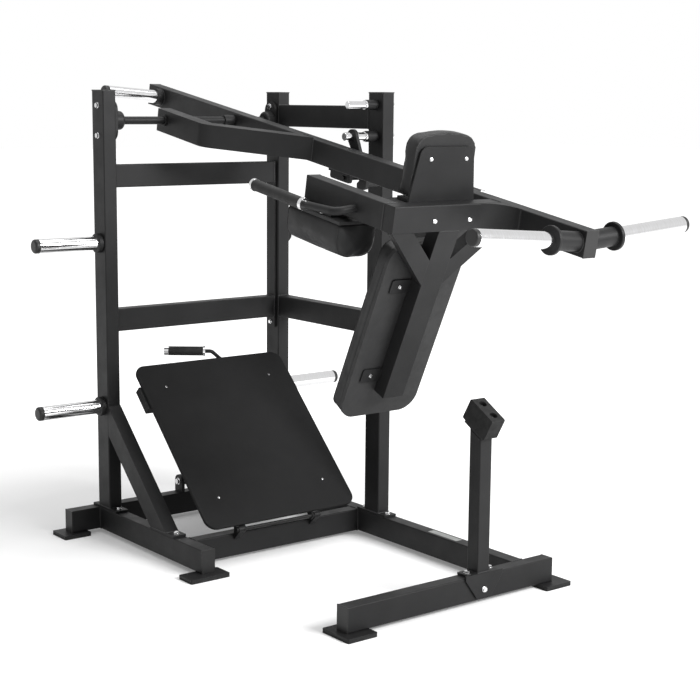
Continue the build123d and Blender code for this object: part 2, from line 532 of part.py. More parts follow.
def back_pad():
    """Back pad: board on the spine's rear face, cushion on the board, and side tabs."""
    plane = spine_plane()
    middle = Pos(0, -(BACK_T0 + BACK_T1) / 2)
    tall = BACK_T1 - BACK_T0
    board = extrude(plane.offset(-TUBE_W) * middle * RectangleRounded(BACK_W, tall, 58), -BOARD_T)
    save("back_board", ARM * board)
    shape = plane.offset(-TUBE_W - BOARD_T - 0.2) * middle * RectangleRounded(BACK_W - 2, tall - 2, 58)
    cushion = extrude(shape, -BACK_CUSHION_T)
    save("back_cushion", ARM * cushion)
    half = TUBE_H / 2
    tabs = []
    for t in (-212.0, -531.0):
        tab = plane.offset(-TUBE_W + 5) * Pos(-half - 36, t) * RectangleRounded(72, 48, 8)
        tabs += [extrude(tab, -5)]
    save("back_tabs", *[ARM * t for t in tabs])


SHOULDER_Y0, SHOULDER_Y1 = -1252.0, -978.0
SHOULDER_TOP, SHOULDER_LOW = -73.0, -179.0
SHOULDER_OUT, SHOULDER_IN, SHOULDER_R = 62.0, 88.0, 54.0
SHOULDER_MIDS = (YOKE_X0 + 32.0, ARM_X + TUBE_W / 2)


def shoulder_pads():
    """Shoulder pads under both arms: hanger block, board and a cushion round underneath."""
    hangers, boards = [], []
    for name, mid, inner in zip(("left", "right"), SHOULDER_MIDS, (1, -1)):
        y0, y1 = SHOULDER_Y0, SHOULDER_Y1
        a, b = sorted((mid - inner * SHOULDER_OUT, mid + inner * SHOULDER_IN))
        hangers += [ARM * block(mid - 52, mid + 52, y0 + 60, y1 - 30, SHOULDER_TOP + 10, ARM_LOW)]
        boards += [ARM * block(a + 2, b - 2, y0 + 4, y1 - 4, SHOULDER_TOP, SHOULDER_TOP + 10)]
        pad = block(a, b, y0, y1, SHOULDER_LOW, SHOULDER_TOP - 0.2)
        low = pad.edges().filter_by(Axis.Y).group_by(Axis.Z)[0]
        pad = fillet(low, SHOULDER_R)
        save(name + "_shoulder_cushion", ARM * pad)
    save("shoulder_hangers", *hangers)
    save("shoulder_boards", *boards)


HANDLE_R, GRIP_R, RING_R = 12.5, 18.0, 20.0
LEFT_GRIP = (95.0, -41.0, -1098.0, -850.0)
RIGHT_GRIP = (668.0, 2.0, -1264.0, -1020.0)


def handle(grip, root):
    """One handle: bent bar from the arm's side, rings at both grip ends and the grip."""
    x, z, near, far = grip
    line = FilletPolyline(root, (x, root[1] + 16, (root[2] + z) / 2), (x, near - 18, z), (x, far, z),
                          radius=30)
    start = Plane(origin=line @ 0, z_dir=line % 0)
    bar = sweep(start * Circle(HANDLE_R), path=line)
    bar -= block(YOKE_X0, ARM_X + TUBE_W, root[1] - 60, root[1] + 60, ARM_LOW, ARM_HIGH)
    rings = [ring(RING_R, HANDLE_R, (x, near - 14, z), (x, near, z))]
    end = rod(RING_R, (x, far, z), (x, far + 14, z))
    rings += [fillet(end.edges().group_by(Axis.Y)[-1], 5)]
    return bar, rings, ring(GRIP_R, HANDLE_R, (x, near, z), (x, far, z))


def handles():
    """Both handles."""
    left = handle(LEFT_GRIP, (YOKE_X0 + 12, -1278, -14))
    right = handle(RIGHT_GRIP, (ARM_X + TUBE_W - 12, -1362, -6))
    save("handle_bars", *[ARM * h[0] for h in (left, right)])
    save("handle_rings", *[ARM * r for h in (left, right) for r in h[1]])
    save("handle_grips", *[ARM * h[2] for h in (left, right)])


def catch_lug():
    """Lug under the main arm with the round catch that the lock lever holds."""
    lug = block(ARM_X + 20, ARM_X + 30, -700, -587, ARM_LOW - 34, ARM_LOW)
    lug += fillet(block(ARM_X + 8, ARM_X + 42, -700, -587, ARM_LOW - 8, ARM_LOW).edges().filter_by(Axis.Z), 6)
    lug = fillet(lug.edges().filter_by(Axis.X).group_by(Axis.Z)[0], 10)
    catch = rod(CATCH_R, (ARM_X + 12, CATCH_Y, CATCH_Z), (LEVER_X + LEVER_T + 6, CATCH_Y, CATCH_Z))
    save("catch_lug", ARM * (lug + catch))


def arm_bolts():
    """Bolt heads on the yoke, the pads and the hangers."""
    bolts = []
    for x in (PAD_X - 68, PAD_X + 68):
        bolts += [hex_bolt((x, YOKE_Y0, -17), (0, -1, 0), 5.5, 4)]
        bolts += [hex_bolt((x, YOKE_Y1, 154), (0, -1, 0), 5, 3)]
    for t in (-212.0, -531.0):
        at = spine_plane().offset(-TUBE_W + 5).from_local_coords((-TUBE_H / 2 - 38, t, 0))
        bolts += [hex_bolt(at, spine_plane().z_dir, 5.5, 4)]
    for mid in SHOULDER_MIDS:
        side = -1 if mid < PAD_X else 1
        for y in (-1148.0, -1020.0):
            bolts += [hex_bolt((mid + side * 52, y, SHOULDER_TOP + 18.5), (side, 0, 0), 6, 4)]
    save("arm_bolts", *[ARM * b for b in bolts])


def foot_plate():
    """Foot plate: panel with rounded corners and raised rubber face, frame behind it, screws."""
    wide, tall = PLATE_X1 - PLATE_X0, PLATE_V1 - PLATE_V0
    mid = Pos(PLATE_MID, (PLATE_V0 + PLATE_V1) / 2, PLATE_W0)
    panel = extrude(mid * RectangleRounded(wide, tall, 42), PLATE_W1 - PLATE_W0)
    panel = chamfer(panel.edges().group_by(Axis.Z)[-1], 2)
    save("foot_panel", FOOT * panel)
    rails = []
    low, high = PLATE_W0 - 30, PLATE_W0
    for x in (PLATE_X0 + 40, PLATE_X1 - 70):
        rails += [tube(x, x + 30, 60, BRACKET_V[0], low, high, Axis.Y)]
    box = (PLATE_X0 - 8, PLATE_X1 + 8, *BRACKET_V, low, high)
    grow = (WALL, -WALL) * 3
    rails += [block(*box) - block(*[v + g for v, g in zip(box, grow)])]
    for x in (LUG_X[0] + LUG_T + 1, LUG_X[1] - PLATE - 1):
        knuckle = block(x, x + PLATE, -9, 60, PLATE_W0 - 22, PLATE_W0)
        knuckle -= rod(HINGE_R + 0.06, (x - 1, 0, 0), (x + PLATE + 1, 0, 0))
        rails += [knuckle]
    rails += strut_ears()
    save("foot_frame", *[FOOT * r for r in rails])
    screws = []
    for x in (PLATE_X0 + SCREW_IN, PLATE_X1 - SCREW_IN):
        for v in SCREW_V:
            screws += [rod(SCREW_R, (x, v, PLATE_W1), (x, v, PLATE_W1 + SCREW_H))]
    save("foot_screws", *[FOOT * chamfer(s.edges().group_by(Axis.Z)[-1], 0.7) for s in screws])


def strut_ears():
    """Ears behind the foot plate: a pair for the strut and a pair for the angle lever."""
    ears = []
    for x in (PLATE_MID - 30, PLATE_MID + 22):
        ear = block(x, x + PLATE, STRUT_V - 26, STRUT_V + 26, STRUT_W - 22, PLATE_W0)
        ears += [ear - rod(EAR_HOLE_R, (x - 1, STRUT_V, STRUT_W), (x + 20, STRUT_V, STRUT_W))]
    for x in (LEVER_PIVOT_X - 16, LEVER_PIVOT_X + 10):
        ear = block(x, x + 6, LEVER_V - 9.6, LEVER_V + 14, LEVER_W - 14, PLATE_W0)
        hole = rod(4.06, (x - 1, LEVER_V, LEVER_W), (x + 20, LEVER_V, LEVER_W))
        ears += [ear - hole]
    return ears


def strut_top():
    """Where the strut's upper pin lies, in the machine's frame."""
    a = radians(PLATE_TILT)
    y = HINGE_Y + STRUT_V * cos(a) - STRUT_W * sin(a)
    return y, HINGE_Z + STRUT_V * sin(a) + STRUT_W * cos(a)


def strut():
    """Telescopic prop: outer tube on the frame's lugs, rod with a cross pin at the plate."""
    ty, tz = strut_top()
    reach = hypot(ty - STRUT_Y, tz - STRUT_Z)
    turn = Location((PLATE_MID, STRUT_Y, STRUT_Z), (degrees(atan2(tz - STRUT_Z, ty - STRUT_Y)), 0, 0))
    barrel = rod(EYE_R, (-EYE_HALF, 0, 0), (EYE_HALF, 0, 0)) + rod(STRUT_R, (0, 4, 0), (0, BARREL_L, 0))
    barrel += rod(KNOB_R, (0, KNOB_AT, ROD_R + 1.5), (0, KNOB_AT, KNOB_TOP))
    barrel -= rod(ROD_R + 0.1, (0, BORE_FROM, 0), (0, BARREL_L + 1, 0))
    barrel -= rod(STRUT_PIN_R + 0.06, (-EYE_HALF - 1, 0, 0), (EYE_HALF + 1, 0, 0))
    save("strut_barrel", turn * barrel)
    slider = rod(ROD_R, (0, ROD_FROM, 0), (0, reach + 2, 0)) + rod(EYE_R, (-EYE_R, reach, 0), (EYE_R, reach, 0))
    slider += rod(STRUT_PIN_R, (-CROSS_PIN_HALF, reach, 0), (CROSS_PIN_HALF, reach, 0))
    save("strut_rod", turn * slider)


GRIP_DIR = (-0.787, 0.616, 0.0)


def angle_lever():
    """Cranked lever at the plate's top rear edge, with its pivot pin, ring and round grip."""
    a = radians(PLATE_TILT)
    y = HINGE_Y + LEVER_V * cos(a) - LEVER_W * sin(a)
    z = HINGE_Z + LEVER_V * sin(a) + LEVER_W * cos(a)
    pivot = Vector(LEVER_PIVOT_X, y, z)
    start = Vector(LEVER_START)
    way = Vector(*GRIP_DIR)
    line = FilletPolyline(pivot, pivot + Vector(0, 48, 29), start, start + way * 172, radius=16)
    bar = sweep(Plane(origin=line @ 0, z_dir=line % 0) * Circle(7), path=line)
    hub = rod(9.3, pivot - Vector(9.5, 0, 0), pivot + Vector(9.5, 0, 0))
    pin = rod(4, pivot - Vector(20, 0, 0), pivot + Vector(20, 0, 0))
    save("angle_lever", bar + hub + pin)
    near, grip0, grip1, far = [start + way * d for d in (22, 30, 158, 174)]
    end = start + way * 172
    save("angle_grip", ring(17, 7, grip0, grip1))
    save("angle_grip_rings", ring(19, 7, near, grip0), rod(18, grip1, far) - rod(7, start, end))


LEVER_START = (422.0, -96.0, 641.0)


def main():
    """Builds every node."""
    os.makedirs("parts", exist_ok=True)
    for step in (base_tubes, uprights, ties, left_brace, flange_plates, end_caps, storage_horns, feet,
                 bearings, frame_bolts, stop_post, stop_bumper, lock_pins, lock_lever, hinge_lugs,
                 hinge_rods, main_arm, shaft, yoke, horns, headrest, spine, back_pad, shoulder_pads,
                 handles, catch_lug, arm_bolts, foot_plate, strut, angle_lever):
        step()


main()
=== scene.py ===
"""Looks of the lever-arm squat machine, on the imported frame. Metres, the frame's own axes."""
import bpy
import bmesh
import json
from math import cos, pi, radians, sin
from mathutils import Matrix, Vector
from mathutils.bvhtree import BVHTree


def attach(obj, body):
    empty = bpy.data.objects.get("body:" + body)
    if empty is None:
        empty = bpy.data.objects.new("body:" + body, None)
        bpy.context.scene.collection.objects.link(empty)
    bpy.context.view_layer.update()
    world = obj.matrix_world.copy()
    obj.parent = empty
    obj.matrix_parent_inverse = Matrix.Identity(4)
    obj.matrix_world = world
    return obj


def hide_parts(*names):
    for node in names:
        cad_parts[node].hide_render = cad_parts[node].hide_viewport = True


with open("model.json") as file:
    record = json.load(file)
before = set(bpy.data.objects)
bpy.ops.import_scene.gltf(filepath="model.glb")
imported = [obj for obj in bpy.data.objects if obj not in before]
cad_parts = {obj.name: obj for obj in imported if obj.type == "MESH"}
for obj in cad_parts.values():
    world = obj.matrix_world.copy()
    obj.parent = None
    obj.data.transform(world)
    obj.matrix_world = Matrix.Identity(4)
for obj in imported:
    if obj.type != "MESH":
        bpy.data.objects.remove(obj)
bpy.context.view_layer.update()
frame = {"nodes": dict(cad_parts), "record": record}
NODES = frame["nodes"]

# Same driving places as the solids, in millimetres of the drawing
CENTRE = Vector((395.5, -620.75, 0.0))
PIVOT = Vector((0.0, -32.0, 1483.5))
TILT = 9.92
LEAN = 15.05
PAD_X = 376.0
ARM_LOW, ARM_HIGH = -50.0, 30.0
SPINE_TOP_Y = -1451.5
TUBE_W, TUBE_H = 50.0, 80.0
BOARD_BACK = TUBE_W + 12.4
WHITE = (1.0, 1.0, 1.0, 1.0)
MM = 0.001


def shift():
    """From drawing millimetres to the frame's metres."""
    return Matrix.Scale(MM, 4) @ Matrix.Translation(-CENTRE)


def arm_frame():
    """From the swing arm's own millimetres to the frame's metres."""
    return shift() @ Matrix.Translation(PIVOT) @ Matrix.Rotation(radians(TILT), 4, "X")


# ---------------------------------------------------------------- materials

def material(name):
    """An empty node material with its tree and shader."""
    m = bpy.data.materials.new(name)
    m.use_nodes = True
    return m, m.node_tree, m.node_tree.nodes["Principled BSDF"]


def coords(nt, scale=(1.0, 1.0, 1.0)):
    """Object coordinates, stretched."""
    tex = nt.nodes.new("ShaderNodeTexCoord")
    mapping = nt.nodes.new("ShaderNodeMapping")
    mapping.inputs["Scale"].default_value = scale
    nt.links.new(tex.outputs["Object"], mapping.inputs["Vector"])
    return mapping.outputs["Vector"]


def noise(nt, scale, detail=4.0, rough=0.55, stretch=(1.0, 1.0, 1.0)):
    """A noise value."""
    n = nt.nodes.new("ShaderNodeTexNoise")
    n.inputs["Scale"].default_value = scale
    n.inputs["Detail"].default_value = detail
    n.inputs["Roughness"].default_value = rough
    nt.links.new(coords(nt, stretch), n.inputs["Vector"])
    return n.outputs["Fac"]


def cells(nt, scale, stretch=(1.0, 1.0, 1.0)):
    """Distance to the edges of small cells."""
    v = nt.nodes.new("ShaderNodeTexVoronoi")
    v.feature = "DISTANCE_TO_EDGE"
    v.inputs["Scale"].default_value = scale
    nt.links.new(coords(nt, stretch), v.inputs["Vector"])
    return v.outputs["Distance"]


def ramp(nt, fac, low, high, a=0.35, b=0.65):
    """Two colours or greys over a value."""
    r = nt.nodes.new("ShaderNodeValToRGB")
    r.color_ramp.elements[0].position = a
    r.color_ramp.elements[1].position = b
    for element, value in zip(r.color_ramp.elements, (low, high)):
        rgb = (value, value, value) if isinstance(value, float) else value
        element.color = (*rgb, 1.0)
    nt.links.new(fac, r.inputs["Fac"])
    return r.outputs["Color"]


def mix(nt, fac, a, b):
    """Mixes two colour outputs."""
    m = nt.nodes.new("ShaderNodeMix")
    m.data_type = "RGBA"
    nt.links.new(fac, m.inputs[0])
    nt.links.new(a, m.inputs[6])
    nt.links.new(b, m.inputs[7])
    return m.outputs[2]


def bump(nt, height, distance, strength=1.0, normal=None):
    """A bump normal."""
    b = nt.nodes.new("ShaderNodeBump")
    b.inputs["Distance"].default_value = distance
    b.inputs["Strength"].default_value = strength
    nt.links.new(height, b.inputs["Height"])
    if normal is not None:
        nt.links.new(normal, b.inputs["Normal"])
    return b.outputs["Normal"]


def round_edges(nt, radius):
    """Normals rounded over edges, and a mask that is bright on those edges."""
    bevel = nt.nodes.new("ShaderNodeBevel")
    bevel.samples = 4
    bevel.inputs["Radius"].default_value = radius
    geo = nt.nodes.new("ShaderNodeNewGeometry")
    dot = nt.nodes.new("ShaderNodeVectorMath")
    dot.operation = "DOT_PRODUCT"
    nt.links.new(bevel.outputs["Normal"], dot.inputs[0])
    nt.links.new(geo.outputs["Normal"], dot.inputs[1])
    span = nt.nodes.new("ShaderNodeMapRange")
    span.inputs["From Min"].default_value = 0.995
    span.inputs["From Max"].default_value = 0.85
    nt.links.new(dot.outputs["Value"], span.inputs["Value"])
    return bevel.outputs["Normal"], span.outputs["Result"]


def powder_coat(name, low, high, rough=(0.4, 0.52), specular=0.34, grain=700.0, edge=0.03):
    """Fine textured matt powder coat, smoother on its edges, with a painted highlight that makes those
    edges a little lighter.
    """
    m, nt, bsdf = material(name)
    rounded, mask = round_edges(nt, 0.0016)
    base = ramp(nt, noise(nt, 5.0, 5.0), low, high)
    # Painted highlight: the rounded edges get a lighter colour, as if they caught the light.
    lighter_edge = ramp(nt, noise(nt, 60.0, 6.0, 0.7), high, tuple(c + edge for c in high), 0.45, 0.75)
    nt.links.new(mix(nt, mask, base, lighter_edge), bsdf.inputs["Base Color"])
    nt.links.new(ramp(nt, noise(nt, 14.0, 6.0), rough[0], rough[1]), bsdf.inputs["Roughness"])
    bsdf.inputs["Specular IOR Level"].default_value = specular
    orange = bump(nt, noise(nt, 130.0, 2.0), 0.0004, 0.25, rounded)
    nt.links.new(bump(nt, noise(nt, grain, 2.0), 0.00022, 0.55, orange), bsdf.inputs["Normal"])
    return m


def chrome(name, tone=0.78, rough=(0.05, 0.13), stretch=(1.0, 1.0, 1.0), radius=0.0008):
    """Polished chrome with faint rub marks and slight differences in gloss."""
    m, nt, bsdf = material(name)
    rounded, _ = round_edges(nt, radius)
    low, high = (tone * 0.93,) * 3, (tone, tone, tone * 1.015)
    nt.links.new(ramp(nt, noise(nt, 30.0, 5.0, 0.6, stretch), low, high), bsdf.inputs["Base Color"])
    bsdf.inputs["Metallic"].default_value = 1.0
    gloss = ramp(nt, noise(nt, 55.0, 8.0, 0.7, stretch), rough[0], rough[1])
    nt.links.new(gloss, bsdf.inputs["Roughness"])
    rubs = bump(nt, noise(nt, 160.0, 5.0, 0.6, stretch), 0.00003, 0.3, rounded)
    nt.links.new(rubs, bsdf.inputs["Normal"])
    return m


def vinyl(name):
    """Grained black upholstery vinyl."""
    m, nt, bsdf = material(name)
    base = ramp(nt, noise(nt, 7.0, 4.0), (0.0075, 0.0075, 0.0078), (0.011, 0.011, 0.0113))
    # Painted shade and highlight on the grain: darker in its creases, where the pore bump sinks, and a
    # little lighter on the raised cells between them.
    painted_grain_shading = ramp(nt, cells(nt, 620.0), (0.005, 0.005, 0.005), (0.014, 0.014, 0.0143), 0.0, 0.12)
    fac = ramp(nt, noise(nt, 90.0, 3.0), 0.25, 0.5)
    nt.links.new(mix(nt, fac, base, painted_grain_shading), bsdf.inputs["Base Color"])
    nt.links.new(ramp(nt, noise(nt, 22.0, 5.0), 0.42, 0.56), bsdf.inputs["Roughness"])
    bsdf.inputs["Specular IOR Level"].default_value = 0.26
    bsdf.inputs["Sheen Weight"].default_value = 0.02
    bsdf.inputs["Sheen Roughness"].default_value = 0.4
    soft = bump(nt, noise(nt, 26.0, 3.0), 0.0012, 0.22)
    pores = bump(nt, cells(nt, 620.0), 0.0003, 0.5, soft)
    nt.links.new(bump(nt, noise(nt, 1400.0, 2.0), 0.0001, 0.4, pores), bsdf.inputs["Normal"])
    return m


def rubber(name, low, high, rough=(0.7, 0.9), grain=420.0, depth=0.0004):
    """Matt black rubber or foam with a fine skin."""
    m, nt, bsdf = material(name)
    rounded, _ = round_edges(nt, 0.0022)
    nt.links.new(ramp(nt, noise(nt, 12.0, 5.0), low, high), bsdf.inputs["Base Color"])
    nt.links.new(ramp(nt, noise(nt, 40.0, 5.0), rough[0], rough[1]), bsdf.inputs["Roughness"])
    bsdf.inputs["Specular IOR Level"].default_value = 0.3
    nt.links.new(bump(nt, noise(nt, grain, 4.0, 0.65), depth, 0.5, rounded), bsdf.inputs["Normal"])
    return m


def sheet_rubber(name):
    """Close-pebbled rubber sheet of the foot plate."""
    m, nt, bsdf = material(name)
    rounded, mask = round_edges(nt, 0.003)
    base = ramp(nt, noise(nt, 4.0, 5.0), (0.0075, 0.0075, 0.0077), (0.009, 0.009, 0.0092))
    # The rounded edges are a lighter colour than the rest of the sheet.
    lighter_edge = ramp(nt, noise(nt, 45.0, 5.0), (0.012, 0.012, 0.012), (0.022, 0.022, 0.022))
    nt.links.new(mix(nt, mask, base, lighter_edge), bsdf.inputs["Base Color"])
    nt.links.new(ramp(nt, noise(nt, 9.0, 6.0), 0.68, 0.74), bsdf.inputs["Roughness"])
    bsdf.inputs["Specular IOR Level"].default_value = 0.15
    pebble = bump(nt, cells(nt, 360.0), 0.0006, 0.5, rounded)
    nt.links.new(bump(nt, noise(nt, 1100.0, 2.0), 0.0001, 0.5, pebble), bsdf.inputs["Normal"])
    return m


def blank_label(name):
    """Plain grey sticker film."""
    m, nt, bsdf = material(name)
    tone = ramp(nt, noise(nt, 25.0), (0.2, 0.205, 0.2), (0.25, 0.255, 0.25))
    nt.links.new(tone, bsdf.inputs["Base Color"])
    nt.links.new(ramp(nt, noise(nt, 60.0), 0.35, 0.5), bsdf.inputs["Roughness"])
    return m


MATS = {
    "powder_black": powder_coat("powder_black", (0.0088, 0.0088, 0.0091), (0.0126, 0.0126, 0.0129),
                                specular=0.18),
    "chrome": chrome("chrome"),
    "sleeve_chrome": chrome("sleeve_chrome", 0.82, (0.07, 0.15), (9.0, 1.0, 1.0)),
    "cap_plastic": powder_coat("cap_plastic", (0.008, 0.008, 0.008), (0.012, 0.012, 0.012),
                               (0.36, 0.48), 0.32, 300.0, 0.01),
    "rubber_black": rubber("rubber_black", (0.007, 0.007, 0.007), (0.012, 0.012, 0.012)),
    "grip_rubber": rubber("grip_rubber", (0.01, 0.01, 0.01), (0.016, 0.016, 0.016), (0.55, 0.7),
                          900.0, 0.0003),
    "pad_vinyl": vinyl("pad_vinyl"),
    "pad_board": rubber("pad_board", (0.014, 0.014, 0.0143), (0.019, 0.019, 0.0193), (0.5, 0.62),
                        800.0, 0.0003),
    "foot_panel_black": sheet_rubber("foot_panel_black"),
    "label": blank_label("label"),
    "weld": powder_coat("weld", (0.013, 0.013, 0.0133), (0.019, 0.019, 0.0193), (0.38, 0.5), 0.36,
                        500.0, 0.02),
    "seam": rubber("seam", (0.008, 0.008, 0.008), (0.014, 0.014, 0.014), (0.45, 0.6), 1500.0, 0.0002),
}
CHROME_SLEEVES = ("horn_sleeves", "storage_sleeves")


def dress_nodes():
    """Gives each CAD node its detailed material."""
    slots = {s["node"]: s["material_slot"] for s in frame["record"]["subparts"]}
    for name, obj in NODES.items():
        key = "sleeve_chrome" if name in CHROME_SLEEVES else slots[name]
        for i in range(max(1, len(obj.material_slots))):
            if not obj.material_slots:
                obj.data.materials.append(MATS[key])
            obj.material_slots[i].material = MATS[key]


dress_nodes()


# ---------------------------------------------------------------- pieces

def new_object(name, mesh, mat, body, smooth=True):
    """Links a mesh as a piece that rides on a body."""
    obj = bpy.data.objects.new(name, mesh)
    bpy.context.scene.collection.objects.link(obj)
    obj.data.materials.append(MATS[mat])
    for poly in obj.data.polygons:
        poly.use_smooth = smooth
    if body:
        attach(obj, body)
    return obj


def rounded(corners, radii, steps=7):
    """A closed outline with round corners, as 2-D points."""
    points = []
    n = len(corners)
    for i in range(n):
        p, a, b = (Vector(corners[j % n]) for j in (i, i - 1, i + 1))
        u, v = (a - p).normalized(), (b - p).normalized()
        r = radii[i] if isinstance(radii, (list, tuple)) else radii
        half = u.angle(v) / 2
        cut = r / max(0.01, abs(sin(half) / cos(half)))
        start, end = p + u * cut, p + v * cut
        for k in range(steps + 1):
            t = k / steps
            points.append((1 - t) ** 2 * start + 2 * t * (1 - t) * p + t ** 2 * end)
    return points


def prism(outline, depth, inset=0.0):
    """A closed prism of an outline, from 0 to depth along the third axis."""
    bm = bmesh.new()
    centre = sum((Vector(p) for p in outline), Vector((0, 0))) / len(outline)
    rings = []
    for w, pull in ((0.0, 0.0), (depth, inset)):
        ring = []
        for p in outline:
            q = Vector(p) - (Vector(p) - centre).normalized() * pull
            ring.append(bm.verts.new((q.x, q.y, w)))
        rings.append(ring)
    bm.faces.new(list(reversed(rings[0])))
    bm.faces.new(rings[1])
    n = len(outline)
    for i in range(n):
        j = (i + 1) % n
        bm.faces.new((rings[0][i], rings[0][j], rings[1][j], rings[1][i]))
    bmesh.ops.recalc_face_normals(bm, faces=bm.faces)
    return bm


def evaluated_mesh(obj):
    """The object's mesh with its modifiers applied."""
    graph = bpy.context.evaluated_depsgraph_get()
    graph.update()
    return bpy.data.meshes.new_from_object(obj.evaluated_get(graph), depsgraph=graph)


def remesh(obj, voxel):
    """Voxel remesh, applied."""
    mod = obj.modifiers.new("remesh", "REMESH")
    mod.mode = "VOXEL"
    mod.voxel_size = voxel
    mesh = evaluated_mesh(obj)
    obj.modifiers.remove(mod)
    obj.data = mesh


CLOTH_FRAMES = 20
CLOTH = {
    "quality": 5,
    "mass": 0.3,
    "tension_stiffness": 20,
    "compression_stiffness": 20,
    "shear_stiffness": 8,
    "bending_stiffness": 0.6,
    "use_pressure": True,
    "uniform_pressure_force": 4.0,
    "vertex_group_mass": "held",
}


def inflate(obj, held, cap):
    """Swells a closed mesh as cloth under pressure; held points stay, and no point moves past cap."""
    before = [v.co.copy() for v in obj.data.vertices]
    group = obj.vertex_groups.new(name="held")
    for v in obj.data.vertices:
        if held(v.co):
            group.add([v.index], 1.0, "REPLACE")
    mod = obj.modifiers.new("cloth", "CLOTH")
    for key, value in CLOTH.items():
        setattr(mod.settings, key, value)
    mod.settings.effector_weights.gravity = 0.0
    mod.collision_settings.use_collision = False
    mod.point_cache.frame_start = 1
    mod.point_cache.frame_end = CLOTH_FRAMES
    scene = bpy.context.scene
    for f in range(1, CLOTH_FRAMES + 1):
        scene.frame_set(f)
    mesh = evaluated_mesh(obj)
    after = [v.co.copy() for v in mesh.vertices]
    obj.modifiers.remove(mod)
    obj.vertex_groups.clear()
    scene.frame_set(1)
    for v, a, b in zip(obj.data.vertices, before, after):
        move = b - a
        if move.length > cap:
            move *= cap / move.length
        v.co = a + move
    bpy.data.meshes.remove(mesh)


def smooth(mesh, rounds, keep):
    """Evens the mesh, leaving kept points."""
    bm = bmesh.new()
    bm.from_mesh(mesh)
    free = [v for v in bm.verts if not keep(v.co)]
    for _ in range(rounds):
        bmesh.ops.smooth_vert(bm, verts=free, factor=0.5,
                              use_axis_x=True, use_axis_y=True, use_axis_z=True)
    bm.to_mesh(mesh)
    bm.free()


def stuffed(name, bm, voxel, held, bulge, place):
    """A pad from its blank: remeshed, swollen as cloth, put in place, then subdivided."""
    mesh = bpy.data.meshes.new(name)
    bm.to_mesh(mesh)
    bm.free()
    obj = bpy.data.objects.new(name, mesh)
    bpy.context.scene.collection.objects.link(obj)
    remesh(obj, voxel)
    smooth(obj.data, 3, held)
    inflate(obj, held, bulge)
    smooth(obj.data, 2, held)
    obj.data.transform(place)
    sub = obj.modifiers.new("subdivision", "SUBSURF")
    sub.levels = 1
    sub.render_levels = 1
    obj.data.materials.append(MATS["pad_vinyl"])
    for poly in obj.data.polygons:
        poly.use_smooth = True
    return obj


def declare_pad(obj, node):
    """Puts a cushion on the swing arm and hides the solid it stands for."""
    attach(obj, "swing_arm")
    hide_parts(node)


def metres(outline):
    """An outline of millimetres in metres."""
    return [(p[0] * MM, p[1] * MM) for p in outline]


HELD_BAND = 0.002


def cushion(name, outline, depth, place, node, inset, bulge, edge=12.0):
    """A padded piece with its outer edges rounded, flat on its board."""
    bm = prism(metres(outline), depth * MM, inset * MM)
    outer = [e for e in bm.edges if all(v.co.z > depth * 0.0009 for v in e.verts)]
    bmesh.ops.bevel(bm, geom=outer, offset=edge * MM, segments=4, profile=0.5, affect="EDGES")
    obj = stuffed(name, bm, 0.0055, lambda co: co.z < HELD_BAND, bulge * MM, place)
    declare_pad(obj, node)
    return obj


def tube_mesh(bm, path, radius, closed=True, sides=8, ripple=0.0, pitch=0.004):
    """Adds a round bead along a path of points."""
    n = len(path)
    rings, run = [], 0.0
    for i, p in enumerate(path):
        a = path[i - 1] if closed or i else p
        b = path[(i + 1) % n] if closed or i < n - 1 else p
        t = (b - a).normalized()
        side = t.cross(Vector((0.31, 0.52, 0.79))).normalized()
        up = t.cross(side)
        run += (p - path[i - 1]).length if i else 0.0
        r = radius * (1.0 + ripple * sin(2 * pi * run / pitch))
        rings.append([bm.verts.new(p + (side * cos(2 * pi * k / sides) + up * sin(2 * pi * k / sides)) * r)
                      for k in range(sides)])
    for i in range(n if closed else n - 1):
        a, b = rings[i], rings[(i + 1) % n]
        for k in range(sides):
            bm.faces.new((a[k], a[(k + 1) % sides], b[(k + 1) % sides], b[k]))
    if not closed:
        bm.faces.new(list(reversed(rings[0])))
        bm.faces.new(rings[-1])


def seam_on(name, obj, outlines):
    """Sewn seams laid on a piece's surface, each from a closed loop of nearby points."""
    tree = BVHTree.FromPolygons([v.co for v in obj.data.vertices], [p.vertices for p in obj.data.polygons])
    bm = bmesh.new()
    for loop in outlines:
        path = []
        for p in loop:
            spot, normal, _, _ = tree.find_nearest(p)
            path.append(spot + normal * 0.0001)
        tube_mesh(bm, path, 0.0012, True, 8, 0.12, 0.0035)
    mesh = bpy.data.meshes.new(name)
    bmesh.ops.recalc_face_normals(bm, faces=bm.faces)
    bm.to_mesh(mesh)
    bm.free()
    return new_object(name, mesh, "seam", "swing_arm")


def dense(outline, step=3.0):
    """More points along a closed outline."""
    out = []
    for i, p in enumerate(outline):
        q = outline[(i + 1) % len(outline)]
        count = max(1, int((q - p).length / step))
        out += [p.lerp(q, k / count) for k in range(count)]
    return out


def pad_frame(origin, right, up):
    """A matrix from a pad's own metres, with z off its board, to the frame's metres."""
    x, y = Vector(right).normalized(), Vector(up).normalized()
    z = x.cross(y)
    m = Matrix((x, y, z)).transposed().to_4x4()
    m.translation = Vector(origin)
    return arm_frame() @ m @ Matrix.Scale(1000.0, 4)


def loop_at(outline, w, place):
    """An outline at a depth, in the frame's metres."""
    points = dense([Vector(p) for p in outline])
    return [place @ Vector((p.x * MM, p.y * MM, w * MM)) for p in points]


def headrest():
    """Headrest cushion behind its steel plate."""
    place = pad_frame((PAD_X - 7.0, -1397.6, 0), (-1, 0, 0), (0, 0, 1))
    corners = [(-124, 38), (124, 38), (116, 219), (0, 232), (-116, 219)]
    outline = rounded(corners, [12, 12, 54, 120, 54])
    obj = cushion("headrest_pad", outline, 58.0, place, "headrest_cushion", 2.0, 6.0)
    seam_on("headrest_seam", obj, [loop_at(outline, 52.0, place)])


